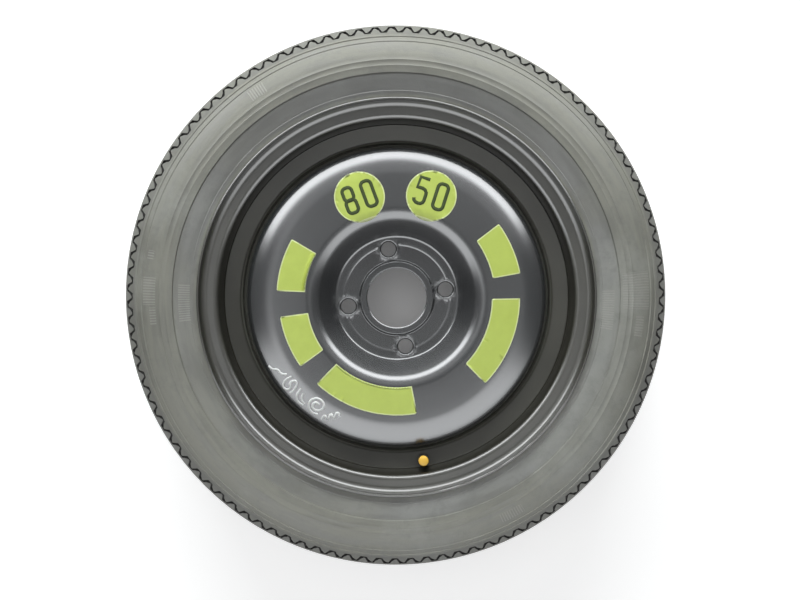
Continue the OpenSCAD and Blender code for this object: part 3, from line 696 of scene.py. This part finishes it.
# Each rib field: middle and half length in degrees, inner and outer radius
RIB_FIELDS = (
    (178.2, 3.2, 249, 263), (184, 2, 249, 256), (169.8, 1, 254, 261), (2, 4.4, 234, 263), (-6.5, 2.6, 249, 258),
    (181, 5, 215, 226), (-3, 5.5, 214, 226), (124, 2.2, 250, 262), (-62, 3, 250, 260))
ribbed = 0.0
for middle, spread, inner, outer in RIB_FIELDS:
    field = use(tree, ribs, Middle=math.radians(middle), Spread=math.radians(spread), Inner=inner * MM,
                Outer=outer * MM)
    ribbed = math_node(tree, "ADD", ribbed, field["Height"])
tint = mix(tree, math_node(tree, "MULTIPLY", ribbed, 0.5), tint, (0.28, 0.28, 0.25, 1))
tree.links.new(tint, shader.inputs["Base Color"])
tree.links.new(ramp(tree, smears.outputs["Fac"], (0.3, 0.42), (0.7, 0.56)), shader.inputs["Roughness"])
shader.inputs["Specular IOR Level"].default_value = 0.55
grain = put(tree, "ShaderNodeTexNoise", Vector=place.outputs["Object"], Scale=700.0, Detail=3.0)
height = math_node(tree, "ADD", grain.outputs["Fac"], math_node(tree, "MULTIPLY", ribbed, 2.0))
bump = put(tree, "ShaderNodeBump", Strength=0.3, Distance=0.0003, Height=height)
tree.links.new(bump.outputs["Normal"], shader.inputs["Normal"])
tyre.data.materials.append(tyre_rubber)
# Dirt and painted shade in the zigzag groove
groove_dirt_and_shade = plain_finish("groove_dirt_and_shade", (0.028, 0.027, 0.025, 1), 0.85, grain=500.0)
tyre.data.materials.append(groove_dirt_and_shade)
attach(tyre, "wheel")
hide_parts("tyre")

# ---- Labels ----
# Stickers of yellow-green vinyl with a paler edge, stuck on the disc: two round ones with plain numbers,
# and five long ones that follow the ring.
label_vinyl = plain_finish("label_vinyl", (0.505, 0.625, 0.085, 1), 0.42, grain=120.0, shade=0.86)
label_edge = plain_finish("label_edge", (0.72, 0.8, 0.36, 1), 0.5, grain=300.0, shade=0.9)
EDGE_W = 0.0012
CORNER_R = 0.0024
stickers = {}
for node in ("round_left", "round_right", "upper_right", "upper_left", "lower_left", "bottom", "lower_right"):
    sticker = dressed("label_" + node, "sticker_" + node, label_vinyl)
    sticker.data.materials.append(label_edge)
    mesh = sticker.data
    bpy.ops.object.mode_set(mode="EDIT")
    bpy.ops.mesh.select_all(action="SELECT")
    bpy.context.tool_settings.mesh_select_mode = (False, True, False)
    bpy.ops.mesh.select_all(action="DESELECT")
    bpy.ops.mesh.edges_select_sharp(sharpness=math.radians(60))
    bpy.ops.object.mode_set(mode="OBJECT")
    # Only the upright edges at the corners of the outline are rounded
    for edge in mesh.edges:
        a, b = (mesh.vertices[number].co for number in edge.vertices)
        if abs((a - b).normalized().z) < 0.8:
            edge.select = False
    for corner in mesh.vertices:
        corner.select = False
    for face in mesh.polygons:
        face.select = False
    bpy.ops.object.mode_set(mode="EDIT")
    if not node.startswith("round"):
        bpy.ops.mesh.bevel(offset=CORNER_R, segments=5, affect="EDGES")
    bpy.ops.mesh.select_all(action="DESELECT")
    bpy.ops.object.mode_set(mode="OBJECT")
    # The top face keeps the vinyl's colour inside a paler edge
    for face in mesh.polygons:
        face.select = face.normal.z > 0.9
        face.material_index = 1
    only(sticker)
    bpy.ops.object.mode_set(mode="EDIT")
    bpy.context.tool_settings.mesh_select_mode = (False, False, True)
    bpy.ops.mesh.inset(thickness=EDGE_W, use_boundary=True)
    bpy.ops.object.mode_set(mode="OBJECT")
    for face in mesh.polygons:
        if face.select:
            face.material_index = 0
    stickers[node] = sticker

# The numbers are printed strokes that lie on the two round labels. Their lines are in millimetres.
number_ink = plain_finish("number_ink", (0.03, 0.05, 0.004, 1), 0.85, grain=200.0)
STROKE_W = 3.7 * MM
INK_LIFT = 0.16
SUNK = 0.05
DIGIT_SHIFT = 10.5


def painted_stroke(name, points, closed, width, onto, finish, smooth=False, lift=INK_LIFT):
    """A thin ribbon along points in the wheel's plane, laid on the piece under it."""
    line = bpy.data.curves.new(name, "CURVE")
    line.dimensions = "3D"
    line.twist_mode = "Z_UP"
    line.bevel_depth = width / math.sqrt(2)
    line.bevel_resolution = 0
    line.use_fill_caps = True
    line.resolution_u = 6
    if smooth:
        run = line.splines.new("BEZIER")
        run.bezier_points.add(len(points) - 1)
        for knot, (x, y) in zip(run.bezier_points, points):
            knot.co = (x, y, 0)
            knot.handle_left_type = knot.handle_right_type = "AUTO"
            knot.tilt = math.radians(45)
    else:
        run = line.splines.new("POLY")
        run.points.add(len(points) - 1)
        for knot, (x, y) in zip(run.points, points):
            knot.co = (x, y, 0, 1)
            knot.tilt = math.radians(45)
    run.use_cyclic_u = closed
    ribbon = bpy.data.objects.new(name, line)
    scene.collection.objects.link(ribbon)
    only(ribbon)
    bpy.ops.object.convert(target="MESH")
    ribbon = bpy.context.object
    for corner in ribbon.data.vertices:
        under = onto.ray_cast((corner.co.x, corner.co.y, 0.1), (0, 0, -1))[1]
        corner.co.z = under.z + (lift if corner.co.z > 0 else -SUNK) * MM
    ribbon.data.materials.append(finish)
    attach(ribbon, "wheel")


def loop(x, y, width, height, corner):
    """The middle line of a box with round corners."""
    line = []
    for number, (cx, cy) in enumerate(((1, 1), (-1, 1), (-1, -1), (1, -1))):
        for part in range(7):
            a = math.radians(90 * number + 15 * part)
            line.append((x + cx * (width / 2 - corner) + corner * math.cos(a),
                         y + cy * (height / 2 - corner) + corner * math.sin(a)))
    return line


ZERO = [(loop(0, 0, 11, 27.4, 4.4), True)]
EIGHT = [(loop(0, 6.7, 10.4, 14.0, 4.2), True), (loop(0, -6.7, 11, 14.0, 4.2), True)]
FIVE = [([(5.4, 13.7), (-4.9, 13.7), (-5.4, 2.4), (-3.4, 2.7), (0.8, 2.7), (3.4, 1.7), (5.2, -0.6), (5.5, -3.2),
          (5.5, -9.3), (4.8, -11.6), (2.6, -13.3), (0.2, -13.7), (-2.6, -13.2), (-4.8, -11.6), (-5.5, -9.2)], False)]
bpy.context.view_layer.update()
# Each label: the angle and the radius of its middle, and its two digits
NUMBERS = (("round_left", 110.4, 114, (EIGHT, ZERO)), ("round_right", 72.1, 116, (FIVE, ZERO)))
for node, angle, ring, digits in NUMBERS:
    up = Vector((math.cos(math.radians(angle)), math.sin(math.radians(angle))))
    right = Vector((up.y, -up.x))
    for number, digit in enumerate(digits):
        for part, (line, closed) in enumerate(digit):
            points = [ring * MM * up + MM * ((x + (2 * number - 1) * DIGIT_SHIFT) * right + y * up) for x, y in line]
            painted_stroke("number_%s_%d_%d" % (node, number, part), points, closed, STROKE_W, stickers[node],
                           number_ink)

# ---- Chalk ----
# Loose strokes of white chalk, drawn by hand on the edge of the disc and worn thin in places.
# Each has its angle and radius on the disc, and its points round and out from there in millimetres.
CHALK_W = 2.4 * MM
CHALK_LIFT = 0.45
chalk = plain_finish("chalk", (0.97, 0.99, 0.98, 1), 0.9, grain=500.0, shade=0.85)
scribbles = (
    (211, 149, [(-9, 6), (-4, 4), (0, -1), (5, -2), (9, -7)]),
    (219, 147, [(-6, -8), (-7, 1), (-2, 7), (3, 3), (-2, -3), (1, -8), (6, -3), (7, 6)]),
    (226, 145, [(-7, -5), (-4, 5), (1, 8), (7, 7)]),
    (226.5, 148, [(-3, -6), (0, 0), (5, 2)]),
    (233, 143, [(7, 7), (0, 9), (-7, 4), (-7, -4), (0, -8), (7, -4), (5, 3), (-2, 4), (-3, -2), (2, -3)]),
    (240, 145, [(-5, 8), (-4, 2), (0, 4), (1, -3), (5, -1), (6, -8), (10, -5)]))
for number, (angle, r, line) in enumerate(scribbles):
    out = Vector((math.cos(math.radians(angle)), math.sin(math.radians(angle))))
    round_way = Vector((-out.y, out.x))
    points = [MM * ((r + y) * out + x * round_way) for x, y in line]
    painted_stroke("chalk_%d" % number, points, False, CHALK_W, disc, chalk, smooth=True, lift=CHALK_LIFT)

size = {"cad": [list(corner) for corner in cad_box], "visual": [list(corner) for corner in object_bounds()]}
